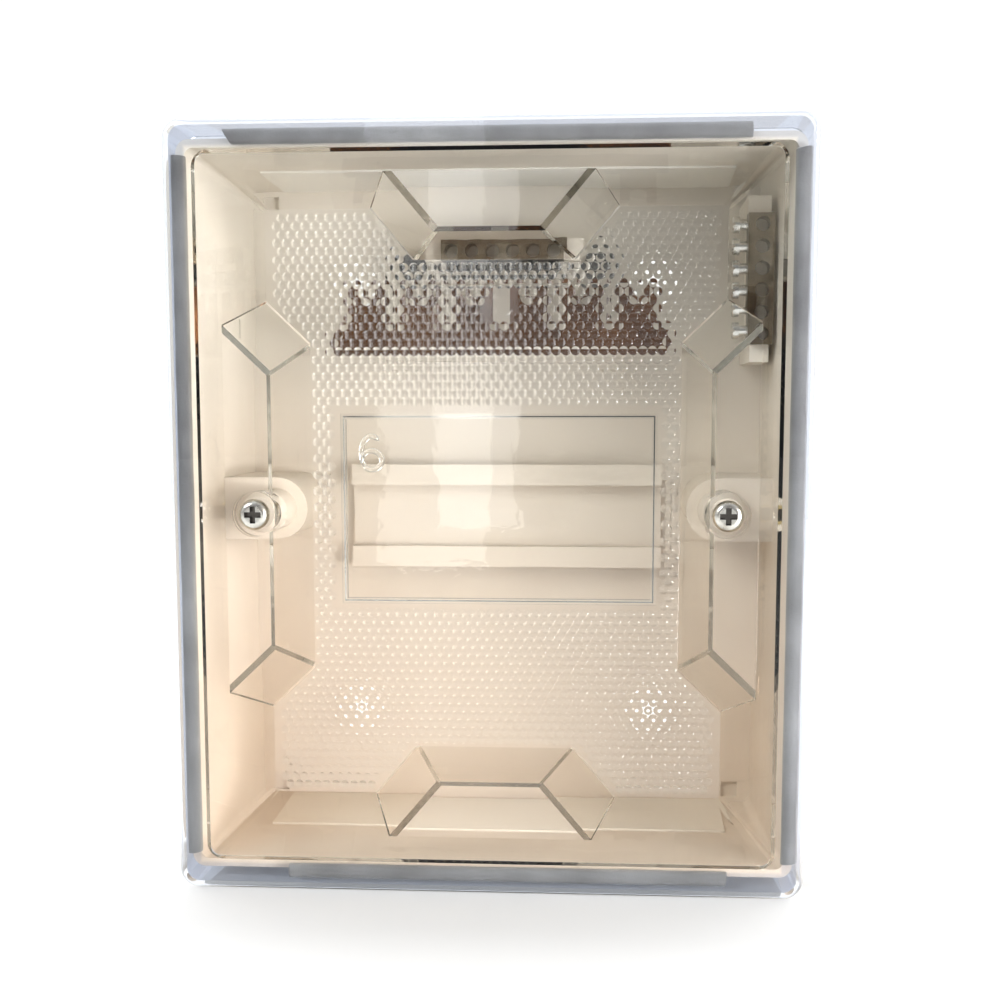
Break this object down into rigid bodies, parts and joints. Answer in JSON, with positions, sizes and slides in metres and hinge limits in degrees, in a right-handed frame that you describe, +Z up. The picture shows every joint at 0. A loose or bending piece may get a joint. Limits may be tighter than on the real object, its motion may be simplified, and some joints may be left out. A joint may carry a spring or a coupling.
{
  "type": "wall-mounted distribution enclosure",
  "caption": "Wall-mounted ivory plastic electrical enclosure with a clear screw-on recessed cover, module rail, comb busbar and terminal links.",
  "frame": {"origin": "centre of the four wall-fixing holes, on the wall plane at the back of the tray", "axes": "+X to the right seen from the front, +Y into the wall (the front faces -Y), +Z up"},
  "size_m": [0.192, 0.082, 0.233],
  "materials": {
    "ivory_plastic": "moulded ABS, ivory, fine satin grain",
    "entry_plastic": "thin moulded ABS, paler ivory",
    "clear_plastic": "clear injection-moulded polycarbonate",
    "window_plastic": "clear polished polycarbonate",
    "grey_foam": "closed-cell grey foam cord",
    "copper": "rolled copper, slightly tarnished",
    "link_brass": "sawn brass bar, dull",
    "screw_nickel": "nickel-plated steel",
    "clamp_steel": "zinc-plated steel",
    "fixing_steel": "dark zinc-plated steel",
    "insert_brass": "turned brass"
  },
  "bodies": {
    "tray": {"base_tray": "ivory_plastic", "din_rail": "ivory_plastic", "busbar_carrier": "ivory_plastic", "comb_busbar": "copper", "neutral_holder": "ivory_plastic", "neutral_fixing_screws": "fixing_steel", "neutral_bar": "link_brass", "earth_holder": "ivory_plastic", "earth_bar": "link_brass", "boss_insert_left": "insert_brass", "boss_insert_right": "insert_brass"},
    "cover": {"clear_cover": "clear_plastic", "window_pane": "window_plastic", "gasket_top": "grey_foam", "gasket_bottom": "grey_foam", "gasket_left": "grey_foam", "gasket_right": "grey_foam"},
    "entry_plate_top": {"entry_plate_top": "entry_plastic"},
    "entry_plate_bottom": {"entry_plate_bottom": "entry_plastic"},
    "cover_screw_left": {"cover_screw_left": "screw_nickel"},
    "cover_screw_right": {"cover_screw_right": "screw_nickel"},
    "neutral_screw_1": {"neutral_screw_1": "clamp_steel"},
    "neutral_screw_2": {"neutral_screw_2": "clamp_steel"},
    "neutral_screw_3": {"neutral_screw_3": "clamp_steel"},
    "neutral_screw_4": {"neutral_screw_4": "clamp_steel"},
    "neutral_screw_5": {"neutral_screw_5": "clamp_steel"},
    "neutral_screw_6": {"neutral_screw_6": "clamp_steel"},
    "earth_screw_1": {"earth_screw_1": "clamp_steel"},
    "earth_screw_2": {"earth_screw_2": "clamp_steel"},
    "earth_screw_3": {"earth_screw_3": "clamp_steel"},
    "earth_screw_4": {"earth_screw_4": "clamp_steel"},
    "earth_screw_5": {"earth_screw_5": "clamp_steel"},
    "earth_screw_6": {"earth_screw_6": "clamp_steel"}
  },
  "joints": [
    {"name": "cover_lift_off", "type": "slide", "parent": "tray", "child": "cover", "axis": [0, -1, 0], "range_m": [0, 0.12]},
    {"name": "cover_screw_left_turn", "type": "hinge", "parent": "cover", "child": "cover_screw_left", "pos_m": [-0.0721, -0.073, -0.0006], "axis": [0, -1, 0], "continuous": true},
    {"name": "cover_screw_right_turn", "type": "hinge", "parent": "cover", "child": "cover_screw_right", "pos_m": [0.0721, -0.073, -0.0006], "axis": [0, -1, 0], "continuous": true},
    {"name": "entry_plate_top_pull", "type": "slide", "parent": "tray", "child": "entry_plate_top", "axis": [0, 0.0329, 0.9995], "range_m": [0, 0.015]},
    {"name": "entry_plate_bottom_pull", "type": "slide", "parent": "tray", "child": "entry_plate_bottom", "axis": [0, 0.0329, -0.9995], "range_m": [0, 0.015]},
    {"name": "neutral_screw_1_turn", "type": "hinge", "parent": "tray", "child": "neutral_screw_1", "pos_m": [-0.01595, -0.021, 0.0795], "axis": [0, 0, -1], "range_deg": [-720, 1080]},
    {"name": "neutral_screw_2_turn", "type": "hinge", "parent": "tray", "child": "neutral_screw_2", "pos_m": [-0.00925, -0.021, 0.0795], "axis": [0, 0, -1], "range_deg": [-720, 1080]},
    {"name": "neutral_screw_3_turn", "type": "hinge", "parent": "tray", "child": "neutral_screw_3", "pos_m": [-0.00255, -0.021, 0.0795], "axis": [0, 0, -1], "range_deg": [-720, 1080]},
    {"name": "neutral_screw_4_turn", "type": "hinge", "parent": "tray", "child": "neutral_screw_4", "pos_m": [0.00415, -0.021, 0.0795], "axis": [0, 0, -1], "range_deg": [-720, 1080]},
    {"name": "neutral_screw_5_turn", "type": "hinge", "parent": "tray", "child": "neutral_screw_5", "pos_m": [0.01085, -0.021, 0.0795], "axis": [0, 0, -1], "range_deg": [-720, 1080]},
    {"name": "neutral_screw_6_turn", "type": "hinge", "parent": "tray", "child": "neutral_screw_6", "pos_m": [0.01755, -0.021, 0.0795], "axis": [0, 0, -1], "range_deg": [-720, 1080]},
    {"name": "earth_screw_1_turn", "type": "hinge", "parent": "tray", "child": "earth_screw_1", "pos_m": [0.0799, -0.043, 0.08805], "axis": [-1, 0, 0], "range_deg": [-720, 1080]},
    {"name": "earth_screw_2_turn", "type": "hinge", "parent": "tray", "child": "earth_screw_2", "pos_m": [0.0799, -0.043, 0.08135], "axis": [-1, 0, 0], "range_deg": [-720, 1080]},
    {"name": "earth_screw_3_turn", "type": "hinge", "parent": "tray", "child": "earth_screw_3", "pos_m": [0.0799, -0.043, 0.07465], "axis": [-1, 0, 0], "range_deg": [-720, 1080]},
    {"name": "earth_screw_4_turn", "type": "hinge", "parent": "tray", "child": "earth_screw_4", "pos_m": [0.0799, -0.043, 0.06795], "axis": [-1, 0, 0], "range_deg": [-720, 1080]},
    {"name": "earth_screw_5_turn", "type": "hinge", "parent": "tray", "child": "earth_screw_5", "pos_m": [0.0799, -0.043, 0.06125], "axis": [-1, 0, 0], "range_deg": [-720, 1080]},
    {"name": "earth_screw_6_turn", "type": "hinge", "parent": "tray", "child": "earth_screw_6", "pos_m": [0.0799, -0.043, 0.05455], "axis": [-1, 0, 0], "range_deg": [-720, 1080]}
  ]
}
